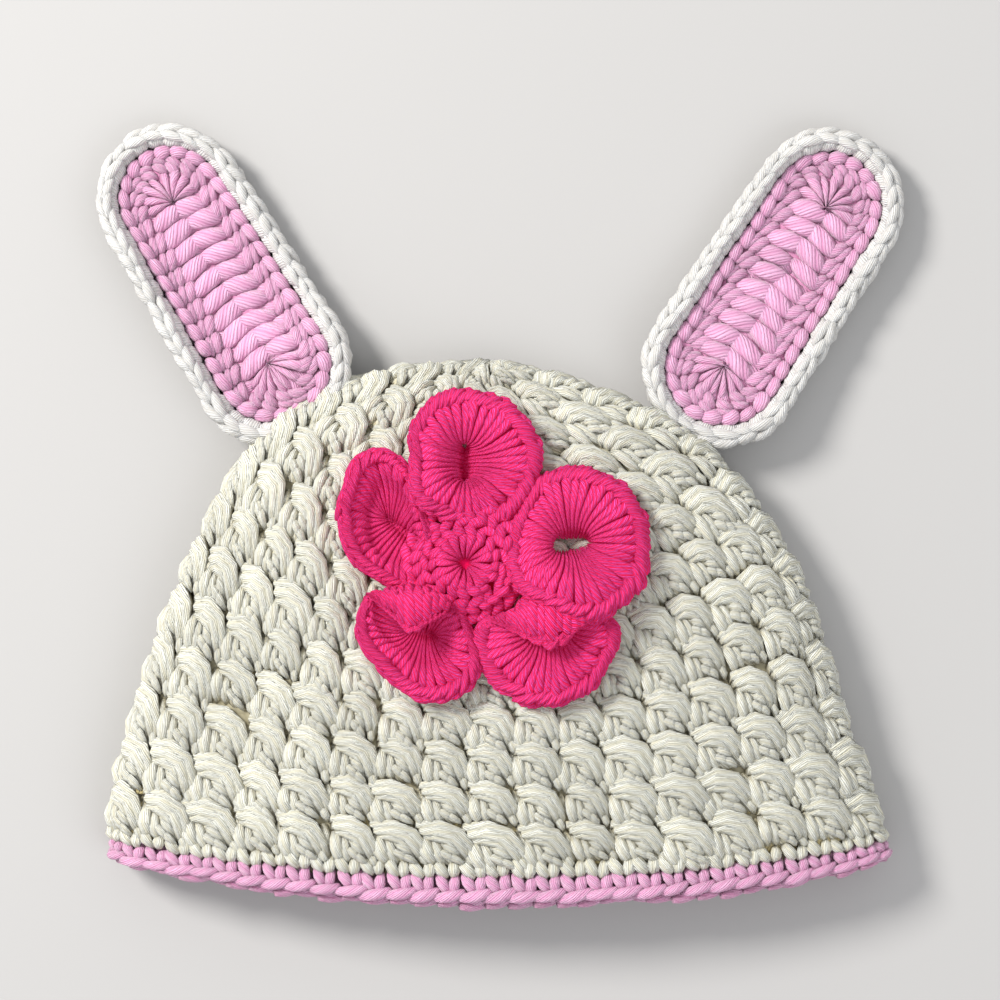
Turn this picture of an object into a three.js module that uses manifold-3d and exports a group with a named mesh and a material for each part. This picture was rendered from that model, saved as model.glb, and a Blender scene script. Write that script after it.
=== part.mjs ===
// A crocheted baby hat with two long ears and a flower, lying on its back on a flat surface.
// Millimetres. +X is the wearer's left to right seen from the front, +Y runs from the rim to the ear tips,
// and +Z is up, out of the front of the hat. The surface that the hat lies on is z = 0.
// The body is one hollow shell worked from the crown to the rim. Its shape is given by rows of stitches:
// row 0 is the crown's centre, and the last row is the rim's edge.
import * as THREE from "three";
import { mergeVertices } from "three/addons/utils/BufferGeometryUtils.js";
import Module from "manifold-3d";

const wasm = await Module();
wasm.setup();

// ---- driving dimensions ----
const WALL = 4.5; // thickness of the crocheted wall
const GAP = 0.3; // free space between two pieces that are sewn together
const FOLD_Z = 8.5; // height of the two side folds above the surface
const FOLD_REACH = 12; // how far in from a fold the underside lifts off the surface
const BULGE = 2.4; // exponent of the front panel's crown: 2 is an ellipse, more is flatter
const SMILE = 2.2; // exponent of a row's sweep from its middle up to the folds
const CROWN_ROWS = 4; // rows that turn over the top edge
const CREAM_END = 13.33; // row where the body's yarn ends
const EDGING_START = 13.42; // row where the coloured edging starts
const RIM_ROW = 14; // row of the rim's free edge
const BODY_POINTS = 40; // points round each row
const NOSE_ROWS = [0.15, 0.4, 0.7]; // extra rings round the crown's centre, where it turns over the edge

// One entry for each row: its middle's y, its left and right fold, and the height of the front there.
const ROWS = [
  { row: 0, midY: 137.7, leftX: -2.6, leftY: 138.1, rightX: -2.6, rightY: 138.1, top: 15.5 },
  { row: 1, midY: 132.3, leftX: -15.9, leftY: 137.7, rightX: 10.6, rightY: 136.0, top: 15.5 },
  { row: 2, midY: 123.4, leftX: -29.3, leftY: 136.6, rightX: 23.1, rightY: 132.2, top: 19.5 },
  { row: 3, midY: 113.4, leftX: -42.1, leftY: 133.0, rightX: 36.0, rightY: 127.7, top: 22.0 },
  { row: 4, midY: 103.1, leftX: -54.0, leftY: 126.8, rightX: 48.0, rightY: 121.0, top: 24.0 },
  { row: 5, midY: 93.0, leftX: -63.5, leftY: 117.6, rightX: 58.1, rightY: 112.0, top: 25.5 },
  { row: 6, midY: 82.9, leftX: -71.0, leftY: 106.2, rightX: 66.0, rightY: 101.9, top: 26.8 },
  { row: 7, midY: 72.9, leftX: -76.6, leftY: 94.5, rightX: 72.8, rightY: 91.1, top: 27.6 },
  { row: 8, midY: 62.8, leftX: -82.0, leftY: 82.4, rightX: 78.1, rightY: 79.5, top: 28.0 },
  { row: 9, midY: 52.8, leftX: -86.9, leftY: 70.0, rightX: 82.6, rightY: 67.5, top: 28.0 },
  { row: 10, midY: 42.7, leftX: -91.3, leftY: 57.4, rightX: 86.4, rightY: 55.1, top: 27.4 },
  { row: 11, midY: 32.5, leftX: -95.1, leftY: 44.5, rightX: 90.3, rightY: 42.8, top: 26.4 },
  { row: 12, midY: 22.3, leftX: -98.5, leftY: 31.7, rightX: 94.6, rightY: 30.7, top: 25.0 },
  { row: 13, midY: 12.0, leftX: -100.0, leftY: 19.9, rightX: 98.5, rightY: 19.1, top: 23.6 },
  { row: 14, midY: 3.0, leftX: -99.8, leftY: 12.6, rightX: 99.8, rightY: 12.6, top: 22.8 },
];

// The front panel's soft dent near its left fold.
const DENT = { x: -70, y: 45, halfWidth: 15, halfLength: 26, depth: 6.5 };

// ---- small helpers ----
const clamp01 = (v) => Math.min(1, Math.max(0, v));
const smooth = (v) => clamp01(v) ** 2 * (3 - 2 * clamp01(v));
const bell = (v) => Math.exp(-v * v);

const leftCurve = new THREE.CatmullRomCurve3(
  ROWS.map((r) => new THREE.Vector3(r.leftX, r.leftY, r.top)), false, "catmullrom");
const rightCurve = new THREE.CatmullRomCurve3(
  ROWS.map((r) => new THREE.Vector3(r.rightX, r.rightY, r.midY)), false, "catmullrom");

// A closed surface from a stack of rings with the same number of points. startTip and endTip close its
// ends with a fan. Without them the last ring joins the first one.
function ringStack(rings, startTip = null, endTip = null) {
  const count = rings[0].length;
  const points = rings.flat();
  const faces = [];
  const at = (ring, k) => (ring % rings.length) * count + (k % count);
  const spans = startTip ? rings.length - 1 : rings.length;
  for (let ring = 0; ring < spans; ring++) {
    for (let k = 0; k < count; k++) {
      faces.push(at(ring, k), at(ring + 1, k + 1), at(ring + 1, k));
      faces.push(at(ring, k), at(ring, k + 1), at(ring + 1, k + 1));
    }
  }
  if (startTip) {
    const first = points.push(startTip) - 1;
    const last = points.push(endTip) - 1;
    for (let k = 0; k < count; k++) {
      faces.push(first, at(0, k + 1), at(0, k));
      faces.push(last, at(rings.length - 1, k), at(rings.length - 1, k + 1));
    }
  }
  return new THREE.BufferGeometry().setFromPoints(points).setIndex(faces);
}

// A geometry as a manifold-3d solid, and a solid as a geometry.
function toSolid(geometry) {
  const bare = new THREE.BufferGeometry()
    .setAttribute("position", geometry.getAttribute("position"))
    .setIndex(geometry.index);
  const merged = mergeVertices(bare, 1e-4);
  return new wasm.Manifold(new wasm.Mesh({
    numProp: 3,
    vertProperties: merged.attributes.position.array,
    triVerts: new Uint32Array(merged.index.array),
  }));
}

function toGeometry(solid) {
  const mesh = solid.getMesh();
  return new THREE.BufferGeometry()
    .setAttribute("position", new THREE.BufferAttribute(mesh.vertProperties, 3))
    .setIndex(new THREE.BufferAttribute(mesh.triVerts, 1));
}

// geometry with every cutter taken out of it, less any loose crumb that this leaves.
function cutBy(geometry, cutters) {
  let solid = toSolid(geometry);
  for (const cutter of cutters) solid = solid.subtract(toSolid(cutter));
  const bodies = solid.decompose().sort((a, b) => b.volume() - a.volume());
  return toGeometry(bodies[0]);
}

// ---- the body's surface ----
// The plan and height of a row: its middle and its two folds, moved in by inset from the outer surface.
function rowAt(row, inset) {
  const share = row / RIM_ROW;
  const step = 0.002;
  const folds = [leftCurve, rightCurve].map((curve, side) => {
    const here = curve.getPoint(share);
    const along = curve.getPoint(Math.min(1, share + step)).sub(curve.getPoint(Math.max(0, share - step)));
    const inward = side === 0 ? new THREE.Vector2(-along.y, along.x) : new THREE.Vector2(along.y, -along.x);
    inward.normalize();
    return new THREE.Vector2(here.x + inward.x * inset, here.y + inward.y * inset);
  });
  const overTop = Math.max(0, 1 - row / CROWN_ROWS);
  const nose = Math.sqrt(1 - (1 - Math.min(1, row)) ** 2);
  return {
    left: folds[0],
    right: folds[1],
    middle: new THREE.Vector2(ROWS[0].leftX * (1 - share), rightCurve.getPoint(share).z - inset * overTop),
    top: FOLD_Z + (leftCurve.getPoint(share).z - FOLD_Z) * nose - inset * nose,
    bottom: inset,
    fromTop: ROWS[0].midY - rightCurve.getPoint(share).z,
  };
}

const dentAt = (x, y) =>
  DENT.depth * bell((x - DENT.x) / DENT.halfWidth) * bell((y - DENT.y) / DENT.halfLength);

// A point of a row: across runs from -1 at the left fold to 1 at the right one.
function rowPoint(r, across, front) {
  const fold = across < 0 ? r.left : r.right;
  const share = Math.abs(across);
  const x = r.middle.x + (fold.x - r.middle.x) * share;
  const y = r.middle.y + (fold.y - r.middle.y) * share ** SMILE;
  if (front) {
    const rise = (1 - share ** BULGE) ** (1 / BULGE);
    return new THREE.Vector3(x, y, FOLD_Z + (r.top - FOLD_Z) * rise - dentAt(x, y) * rise);
  }
  const half = Math.max(1e-6, Math.hypot(fold.x - r.middle.x, fold.y - r.middle.y));
  const sideLift = clamp01((share * half - (half - FOLD_REACH)) / FOLD_REACH);
  const topLift = clamp01(1 - r.fromTop / FOLD_REACH);
  const flat = Math.sqrt(1 - sideLift ** 2) * Math.sqrt(1 - topLift ** 2);
  return new THREE.Vector3(x, y, r.bottom + (FOLD_Z - r.bottom) * (1 - flat));
}

// One panel's points along a row, evenly spaced from its first fold to just before the other one.
function panelPoints(r, front, count) {
  const fine = 240;
  const points = [];
  for (let k = 0; k <= fine; k++) {
    const across = Math.cos((Math.PI * k) / fine);
    points.push(rowPoint(r, front ? across : -across, front));
  }
  const along = [0];
  for (let k = 1; k <= fine; k++) along.push(along[k - 1] + points[k].distanceTo(points[k - 1]));
  const spaced = [];
  let k = 1;
  for (let n = 0; n < count; n++) {
    const wanted = (along[fine] * n) / count;
    while (along[k] < wanted) k++;
    const part = (wanted - along[k - 1]) / Math.max(1e-9, along[k] - along[k - 1]);
    spaced.push(points[k - 1].clone().lerp(points[k], part));
  }
  return spaced;
}

// A whole row: over the front from the right fold to the left one, then back underneath.
function rowRing(row, inset) {
  const r = rowAt(row, inset);
  return [...panelPoints(r, true, BODY_POINTS / 2), ...panelPoints(r, false, BODY_POINTS / 2)];
}

const crownTip = (inset) => new THREE.Vector3(ROWS[0].leftX, ROWS[0].midY - inset, FOLD_Z);
const wholeRows = ROWS.slice(1, -1).map((r) => r.row);

// ---- hat body: one crocheted shell, open at the rim ----
function hatBody() {
  const rows = [...NOSE_ROWS, ...wholeRows, CREAM_END];
  const outside = rows.map((row) => rowRing(row, 0));
  const inside = rows.map((row) => rowRing(row, WALL)).reverse();
  return ringStack([...outside, ...inside], crownTip(0), crownTip(WALL));
}

// The space that the hat takes, filled and a little larger, to trim the pieces sewn to it.
function bodyCutter() {
  const rows = [...NOSE_ROWS, ...wholeRows, CREAM_END, RIM_ROW];
  const rimCentre = new THREE.Vector3(0, ROWS[RIM_ROW].midY, FOLD_Z);
  return ringStack(rows.map((row) => rowRing(row, -GAP)), crownTip(-GAP), rimCentre);
}

// ---- rim edging: the coloured round along the free edge ----
function rimEdging() {
  const outside = [EDGING_START, RIM_ROW].map((row) => rowRing(row, 0));
  const inside = [RIM_ROW, EDGING_START].map((row) => rowRing(row, WALL));
  return ringStack([...outside, ...inside]);
}

// ---- ears: a back with a raised border, and a lining panel laid in it ----
const EAR = { length: 90, width: 41, floor: 2.8, border: 5.6, height: 6.8, lining: 3.2, middle: 14 };
const EAR_POINTS = 36;
const EARS = [
  { name: "left_ear", x: -71.4, y: 159.5, lean: 31.6, taper: 0.1, curl: 7, cup: 1, pucker: 4, baseLift: 4.5 },
  { name: "right_ear", x: 70.6, y: 158.4, lean: -33.0, taper: 0.06, curl: 0, cup: 1.4, pucker: 0, baseLift: 4.5 },
];

// A point on the outline of a shape with straight sides and round ends, by its share of the way round.
function earOutline(share, halfLength, radius) {
  const straight = 2 * (halfLength - radius);
  const arc = Math.PI * radius;
  let d = (share % 1) * 2 * (straight + arc);
  const side = d < straight + arc ? 1 : -1;
  if (side < 0) d -= straight + arc;
  if (d < straight) return { across: side * radius, along: side * (d - straight / 2) };
  const turn = (d - straight) / radius;
  return { across: side * radius * Math.cos(turn), along: side * (straight / 2 + radius * Math.sin(turn)) };
}

// How high an ear lifts off the surface: its base is sewn to the fold, and its edges curl up.
function earLift(ear, across, along) {
  const u = across / (EAR.width / 2);
  const v = along / (EAR.length / 2);
  const base = ear.baseLift * smooth(-v * 0.9 + 0.1);
  const curl = ear.curl * Math.max(0, -u) ** 2 * bell((v - 0.15) / 0.8);
  const pucker = ear.pucker * bell((u - 0.35) / 0.4) * bell((v + 0.62) / 0.22);
  return base + ear.cup * u * u + curl + pucker;
}

function earPoint(ear, across, along, height) {
  const lean = THREE.MathUtils.degToRad(ear.lean);
  const narrow = 1 - ear.taper * smooth((along / EAR.length) + 0.5);
  const a = across * narrow;
  return new THREE.Vector3(
    ear.x + a * Math.cos(lean) - along * Math.sin(lean),
    ear.y + a * Math.sin(lean) + along * Math.cos(lean),
    height + earLift(ear, across, along));
}

// Rings of an ear piece, each given by how far in from the ear's edge it lies and how high.
function earStack(ear, profile, startHeight, endHeight) {
  const rings = profile.map(({ inset, height }) =>
    Array.from({ length: EAR_POINTS }, (_, k) => {
      const halfLength = EAR.length / 2 - inset;
      const radius = EAR.width / 2 - inset;
      const p = earOutline(k / EAR_POINTS, halfLength, radius);
      return earPoint(ear, p.across, p.along, height);
    }));
  return ringStack(rings, earPoint(ear, 0, 0, startHeight), earPoint(ear, 0, 0, endHeight));
}

function earBack(ear) {
  const { floor, border, height, middle } = EAR;
  return earStack(ear, [
    { inset: middle, height: 0 },
    { inset: border + 4, height: 0 },
    { inset: border / 2, height: 0 },
    { inset: 0.9, height: 0.6 },
    { inset: 0, height: height / 2 },
    { inset: 0.9, height: height - 0.8 },
    { inset: border / 2, height },
    { inset: border - 1.2, height: height - 0.6 },
    { inset: border, height: floor },
    { inset: border + 4, height: floor },
    { inset: middle, height: floor },
  ], 0, floor);
}

function earLining(ear) {
  const low = EAR.floor + 2 * GAP;
  const high = low + EAR.lining;
  const edge = EAR.border + 2 * GAP;
  const middle = EAR.middle;
  return earStack(ear, [
    { inset: middle, height: low },
    { inset: EAR.border + 4, height: low },
    { inset: edge + 0.8, height: low },
    { inset: edge, height: low + 0.5 },
    { inset: edge + 0.8, height: high - 0.7 },
    { inset: EAR.border + 4, height: high },
    { inset: middle, height: high },
  ], low, high);
}

// ---- flower: five cupped petals round a gathered centre ----
const PETAL = { thick: 2.6, points: 28, rings: [0.25, 0.5, 0.75, 0.92, 1] };
const SEAT = 0.5; // free space between the flower and the front panel
const FLOWER = { x: -7.5, y: 87.4, radius: 11, height: 8 };
// Each petal's centre, half sizes and turn, the height of its base, how deep it is cupped, and how far
// and towards which side it stands up.
const PETALS = [
  { name: "petal_top", x: -6.2, y: 114.0, halfWide: 15.3, halfLong: 17.4, turn: 2, base: 0.5, cup: 5.0, rise: 1.5, towards: 90 },
  { name: "petal_right", x: 19.7, y: 93.1, halfWide: 16.7, halfLong: 17.8, turn: -12, base: 3.2, cup: 3.6, rise: 1.5, towards: 20 },
  { name: "petal_lower_right", x: 10.5, y: 68.4, halfWide: 16.8, halfLong: 15.9, turn: 12, base: 0.2, cup: 3.4, rise: 1.5, towards: -60 },
  { name: "petal_lower_left", x: -20.7, y: 69.0, halfWide: 14.4, halfLong: 14.9, turn: 30, base: 0.2, cup: 5.0, rise: 3.0, towards: 190 },
  { name: "petal_left", x: -26.0, y: 98.7, halfWide: 13.0, halfLong: 17.8, turn: -8, base: 0.4, cup: 5.0, rise: 4.5, towards: 170 },
];

// The height of the front panel's outer surface over a point of the plan, found by halving.
function frontHeight(x, y) {
  let low = 0.02;
  let high = RIM_ROW;
  const onRow = (row) => {
    const r = rowAt(row, 0);
    const fold = x < r.middle.x ? r.left : r.right;
    return { r, across: ((x - r.middle.x) / (fold.x - r.middle.x)) * (x < r.middle.x ? -1 : 1) };
  };
  for (let k = 0; k < 24; k++) {
    const row = (low + high) / 2;
    const { r, across } = onRow(row);
    if (Math.abs(across) > 1 || rowPoint(r, across, true).y < y) high = Math.abs(across) > 1 ? high : row;
    if (Math.abs(across) > 1 || rowPoint(r, across, true).y >= y) low = row;
  }
  const { r, across } = onRow((low + high) / 2);
  return rowPoint(r, Math.max(-1, Math.min(1, across)), true).z;
}

function petalPoint(petal, share, angle, height, grow) {
  const turn = THREE.MathUtils.degToRad(petal.turn);
  const side = (petal.halfWide + grow) * share * Math.cos(angle);
  const out = (petal.halfLong + grow) * share * Math.sin(angle);
  const x = petal.x + side * Math.cos(turn) - out * Math.sin(turn);
  const y = petal.y + side * Math.sin(turn) + out * Math.cos(turn);
  const stand = Math.max(0, Math.cos(angle + turn - THREE.MathUtils.degToRad(petal.towards)));
  const lift = petal.base + petal.cup * share ** 2 + petal.rise * stand * share ** 2;
  return new THREE.Vector3(x, y, frontHeight(x, y) + SEAT + lift + height);
}

function petalBlade(petal, grow = 0) {
  const ring = (share, height) => Array.from({ length: PETAL.points }, (_, k) =>
    petalPoint(petal, share, (2 * Math.PI * k) / PETAL.points, height, grow));
  const up = PETAL.thick + grow;
  const rings = [
    ...PETAL.rings.map((share) => ring(share, share === 1 ? 0.7 - grow : -grow)),
    ...PETAL.rings.toReversed().map((share) => ring(share, share === 1 ? up - 0.7 : up)),
  ];
  return ringStack(rings, petalPoint(petal, 0, 0, -grow, grow), petalPoint(petal, 0, 0, up, grow));
}

function flowerCentre(grow = 0) {
  const { x, y, radius, height } = FLOWER;
  const profile = [[0.5, 0], [0.95, 0], [1, 0.3], [0.92, 0.6], [0.7, 0.86], [0.35, 0.97]];
  const seat = frontHeight(x, y) - 0.4;
  const rings = profile.map(([wide, high]) => Array.from({ length: 20 }, (_, k) => {
    const angle = (2 * Math.PI * k) / 20;
    const px = x + (radius * wide + grow) * Math.cos(angle);
    const py = y + (radius * wide + grow) * Math.sin(angle);
    const floor = frontHeight(px, py) + SEAT - grow;
    return new THREE.Vector3(px, py, high > 0 ? seat + SEAT + height * high + grow : floor);
  }));
  const top = new THREE.Vector3(x, y, seat + SEAT + height + grow);
  return ringStack(rings, new THREE.Vector3(x, y, frontHeight(x, y) + SEAT - grow), top);
}

// ---- assembly ----
const yarn = (color, roughness) => new THREE.MeshStandardMaterial({ color, roughness, metalness: 0 });
const cream = yarn(0xf2f1e4, 0.75);
const white = yarn(0xf6f4f2, 0.75);
const softPink = yarn(0xf0b3da, 0.8);
const hotPink = yarn(0xf0217f, 0.7);

const hat = new THREE.Group();
function add(name, geometry, material) {
  const mesh = new THREE.Mesh(geometry, material);
  mesh.name = name;
  mesh.geometry.computeVertexNormals();
  hat.add(mesh);
}

const body = hatBody();
const bodySpace = bodyCutter();
add("hat_body", body, cream);
add("rim_edging", rimEdging(), softPink);

for (const ear of EARS) {
  add(`${ear.name}_back`, cutBy(earBack(ear), [bodySpace]), white);
  add(`${ear.name}_lining`, cutBy(earLining(ear), [bodySpace]), softPink);
}

add("flower_centre", flowerCentre(), hotPink);
// A petal is trimmed by the centre and by the neighbour that lies over it.
const OVER = { petal_lower_right: "petal_right", petal_lower_left: "petal_left", petal_left: "petal_top" };
const petalNamed = (name) => PETALS.find((petal) => petal.name === name);
for (const petal of PETALS) {
  const cutters = [flowerCentre(GAP)];
  if (OVER[petal.name]) cutters.push(petalBlade(petalNamed(OVER[petal.name]), GAP));
  add(petal.name, cutBy(petalBlade(petal), cutters), hotPink);
}

// The frame's origin is under the middle of the whole hat, on the surface that it lies on.
const box = new THREE.Box3().setFromObject(hat);
hat.position.set(-(box.min.x + box.max.x) / 2, -(box.min.y + box.max.y) / 2, -box.min.z);

export default hat;
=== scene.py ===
# A crocheted baby hat with two ears and a flower, lying on its back, seen from above.
import math
from collections import namedtuple
import bmesh
import bpy
import numpy as np
from mathutils import Matrix, Vector
from mathutils.bvhtree import BVHTree


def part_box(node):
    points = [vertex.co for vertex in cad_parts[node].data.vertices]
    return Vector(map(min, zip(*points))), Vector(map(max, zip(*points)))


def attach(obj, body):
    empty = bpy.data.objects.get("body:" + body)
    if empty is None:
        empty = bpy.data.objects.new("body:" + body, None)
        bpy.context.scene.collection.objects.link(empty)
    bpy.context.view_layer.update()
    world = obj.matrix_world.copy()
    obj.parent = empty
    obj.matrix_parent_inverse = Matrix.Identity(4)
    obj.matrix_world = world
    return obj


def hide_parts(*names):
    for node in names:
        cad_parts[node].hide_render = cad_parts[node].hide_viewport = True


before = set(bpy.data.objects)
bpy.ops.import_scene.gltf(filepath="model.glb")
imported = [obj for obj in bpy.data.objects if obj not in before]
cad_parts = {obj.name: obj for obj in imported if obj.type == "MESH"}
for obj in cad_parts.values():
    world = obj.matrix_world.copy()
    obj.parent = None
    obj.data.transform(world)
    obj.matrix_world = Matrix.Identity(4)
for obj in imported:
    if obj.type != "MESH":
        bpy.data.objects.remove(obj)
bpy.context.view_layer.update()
MM = 0.001

# ---- Hat body ----
# The body is worked in rounds from the crown down in a thick, loosely plied cream yarn. Each stitch is a wide
# satiny wrap that runs down its right side, with two short legs at the left and small loops. The hat lies
# flat on its back, folded at its two sides, so the rounds hang in a smile.
Row = namedtuple("Row", "mid_y left_x left_y right_x right_y top")
ROWS = [  # one entry a round, in millimetres: its middle, its two folds, and the height of the front there
    Row(137.7, -2.6, 138.1, -2.6, 138.1, 15.5),
    Row(132.3, -15.9, 137.7, 10.6, 136.0, 15.5),
    Row(123.4, -29.3, 136.6, 23.1, 132.2, 19.5),
    Row(113.4, -42.1, 133.0, 36.0, 127.7, 22.0),
    Row(103.1, -54.0, 126.8, 48.0, 121.0, 24.0),
    Row(93.0, -63.5, 117.6, 58.1, 112.0, 25.5),
    Row(82.9, -71.0, 106.2, 66.0, 101.9, 26.8),
    Row(72.9, -76.6, 94.5, 72.8, 91.1, 27.6),
    Row(62.8, -82.0, 82.4, 78.1, 79.5, 28.0),
    Row(52.8, -86.9, 70.0, 82.6, 67.5, 28.0),
    Row(42.7, -91.3, 57.4, 86.4, 55.1, 27.4),
    Row(32.5, -95.1, 44.5, 90.3, 42.8, 26.4),
    Row(22.3, -98.5, 31.7, 94.6, 30.7, 25.0),
    Row(12.0, -100.0, 19.9, 98.5, 19.1, 23.6),
    Row(3.0, -99.8, 12.6, 99.8, 12.6, 22.8),
]
WALL = 4.5
FOLD_Z = 8.5
FOLD_REACH = 12.0
BULGE = 2.4
SMILE = 2.2
CROWN_ROWS = 4
DENT_X, DENT_Y, DENT_HALF_WIDTH, DENT_HALF_LENGTH, DENT_DEPTH = -70.0, 45.0, 15.0, 26.0, 6.5
PANEL_POINTS = 361  # points across a panel, from which the ring's even ones are taken
RING_POINTS = 360
ROW_STEP = 0.03  # how far up and down a fold's direction is read, in rows
# The rows above are counted from the rim's lowest point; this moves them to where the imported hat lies.
rim_low, rim_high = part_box("rim_edging")
SHIFT = np.array([rim_high.x / MM - ROWS[-1].right_x, rim_low.y / MM - ROWS[-1].mid_y, 0.0])
rng = np.random.default_rng(7)


def spline(values, at):
    """Values of a uniform Catmull-Rom curve through the table's columns, at fractional rows."""
    table = np.asarray(values, float)
    table = np.vstack([2 * table[0] - table[1], table, 2 * table[-1] - table[-2]])
    base = np.clip(np.floor(at).astype(int), 0, len(table) - 4)
    t = (at - base)[..., None]
    p0, p1, p2, p3 = (table[base + k] for k in range(4))
    return 0.5 * (2 * p1 + (p2 - p0) * t + (2 * p0 - 5 * p1 + 4 * p2 - p3) * t**2
                  + (3 * p1 - p0 - 3 * p2 + p3) * t**3)


def hat_ring(row, inset, count):
    """One round of the hat's wall as even points: over the front from the right fold, then underneath."""
    last = len(ROWS) - 1
    mid_y, left_x, left_y, right_x, right_y, top = spline(ROWS, np.array(float(row)))
    before = spline(ROWS, np.array(max(0.0, row - ROW_STEP)))
    after = spline(ROWS, np.array(min(float(last), row + ROW_STEP)))
    inward = []
    for column, sign in ((1, -1.0), (3, 1.0)):
        run = after[column:column + 2] - before[column:column + 2]
        inward.append(np.array([run[1], -run[0]]) * sign / np.hypot(*run))
    left = np.array([left_x, left_y]) + inward[0] * inset
    right = np.array([right_x, right_y]) + inward[1] * inset
    nose = math.sqrt(1 - (1 - min(1.0, row)) ** 2)
    middle = np.array([ROWS[0].left_x * (1 - row / last), mid_y - inset * max(0.0, 1 - row / CROWN_ROWS)])
    crest = FOLD_Z + (top - FOLD_Z) * nose - inset * nose
    panels = []
    for front in (True, False):
        across = np.cos(np.linspace(0, math.pi, PANEL_POINTS)) * (1 if front else -1)
        share = np.abs(across)
        fold = np.where(across[:, None] < 0, left, right)
        plan = middle + (fold - middle) * np.stack([share, share**SMILE], 1)
        if front:
            rise = (1 - share**BULGE) ** (1 / BULGE)
            dent = DENT_DEPTH * np.exp(-(((plan[:, 0] - DENT_X) / DENT_HALF_WIDTH) ** 2)
                                       - ((plan[:, 1] - DENT_Y) / DENT_HALF_LENGTH) ** 2)
            height = FOLD_Z + (crest - FOLD_Z) * rise - dent * rise
        else:
            half = np.maximum(1e-6, np.linalg.norm(fold - middle, axis=1))
            side = np.clip((share * half - (half - FOLD_REACH)) / FOLD_REACH, 0, 1)
            over = np.clip(1 - (ROWS[0].mid_y - mid_y) / FOLD_REACH, 0, 1)
            flat = np.sqrt(1 - side**2) * np.sqrt(1 - over**2)
            height = inset + (FOLD_Z - inset) * (1 - flat)
        points = np.column_stack([plan, height])
        run = np.concatenate([[0], np.cumsum(np.linalg.norm(np.diff(points, axis=0), axis=1))])
        wanted = np.linspace(0, run[-1], count // 2, endpoint=False)
        panels.append(np.column_stack([np.interp(wanted, run, points[:, k]) for k in range(3)]))
    return np.vstack(panels) + SHIFT


class Surface:
    """A grid of points to bend stitches onto: s runs round it from 0 to 1, and t across it from 0 to last."""

    def __init__(self, grid, last, facing=1.0):
        self.grid, self.last, self.facing = np.asarray(grid, float), last, facing
        around = np.roll(self.grid, -1, axis=1) - np.roll(self.grid, 1, axis=1)
        across = np.gradient(self.grid, axis=0)
        normal = np.cross(around, across) * facing
        self.normal = normal / np.maximum(1e-9, np.linalg.norm(normal, axis=2, keepdims=True))

    def at(self, s, t):
        """Points and outward normals at s and t; past the last line it carries on straight."""
        lines, count = self.grid.shape[:2]
        y = t / self.last * (lines - 1)
        low = np.clip(np.floor(y).astype(int), 0, lines - 2)
        v = (y - low)[:, None]
        x = (s % 1.0) * count
        left = np.floor(x).astype(int) % count
        right = (left + 1) % count
        u = (x - np.floor(x))[:, None]
        held = np.clip(v, 0, 1)

        def mix(table, part):
            near = table[low, left] * (1 - u) + table[low, right] * u
            return near * (1 - part) + (table[low + 1, left] * (1 - u) + table[low + 1, right] * u) * part

        return mix(self.grid, v), mix(self.normal, held)


LINES_PER_ROW = 6
lines = np.linspace(0.02, len(ROWS) - 1, (len(ROWS) - 1) * LINES_PER_ROW + 1)
hat_outside = Surface([hat_ring(line, 0.0, RING_POINTS) for line in lines], len(ROWS) - 1)
hat_inside = Surface([hat_ring(line, WALL, RING_POINTS) for line in lines], len(ROWS) - 1, -1.0)

Shape = namedtuple("Shape", "points corners sizes uv")


def strand(route, girth, sides=8, steps=8):
    """One closed length of yarn in millimetres. route holds its (across, down, height) points, and girth its
    half width and half height at evenly spread stations."""
    stations = spline(route, np.linspace(0, len(route) - 1, steps))
    sizes = spline(girth, np.linspace(0, len(girth) - 1, steps))
    tangents = np.gradient(stations, axis=0)
    bm = bmesh.new()
    around = bm.verts.layers.float.new("around")
    along = bm.verts.layers.float.new("along")
    ring = bmesh.ops.create_circle(bm, cap_ends=False, radius=1.0, segments=sides)["verts"]
    for k, vert in enumerate(ring):
        vert[around] = k / sides
    placed = Matrix.Identity(4)
    length = 0.0
    for k in range(steps):
        if k:
            edges = [e for e in bm.edges if all(v in ring for v in e.verts)]
            made = bmesh.ops.extrude_edge_only(bm, edges=edges)["geom"]
            ring = [v for v in made if isinstance(v, bmesh.types.BMVert)]
            length += float(np.linalg.norm(stations[k] - stations[k - 1]))
        ahead = Vector(tangents[k]).normalized()
        side = ahead.cross(Vector((0, 0, 1))).normalized()
        up = side.cross(ahead)
        basis = Matrix((side * sizes[k][0], up * sizes[k][1], ahead)).transposed().to_4x4()
        wanted = Matrix.Translation(stations[k]) @ basis
        bmesh.ops.transform(bm, matrix=wanted @ placed.inverted(), verts=ring)
        placed = wanted
        for vert in ring:
            vert[along] = length
    bmesh.ops.holes_fill(bm, edges=[e for e in bm.edges if e.is_boundary], sides=0)
    bmesh.ops.recalc_face_normals(bm, faces=bm.faces)
    bm.verts.index_update()
    points = np.array([v.co for v in bm.verts])
    corners, uv = [], []
    for face in bm.faces:
        turns = [v[around] for v in face.verts]
        wraps = len(face.verts) == 4 and max(turns) - min(turns) > 0.5
        for vert in face.verts:
            corners.append(vert.index)
            uv.append((vert[along], vert[around] + (1.0 if wraps and vert[around] < 0.5 else 0.0)))
    shape = Shape(points, np.array(corners), np.array([len(f.verts) for f in bm.faces]), np.array(uv))
    bm.free()
    return shape


def joined(*shapes):
    """Several strands as one shape."""
    offsets = np.cumsum([0] + [len(s.points) for s in shapes[:-1]])
    return Shape(np.vstack([s.points for s in shapes]),
                 np.concatenate([s.corners + o for s, o in zip(shapes, offsets)]),
                 np.concatenate([s.sizes for s in shapes]), np.vstack([s.uv for s in shapes]))


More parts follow.
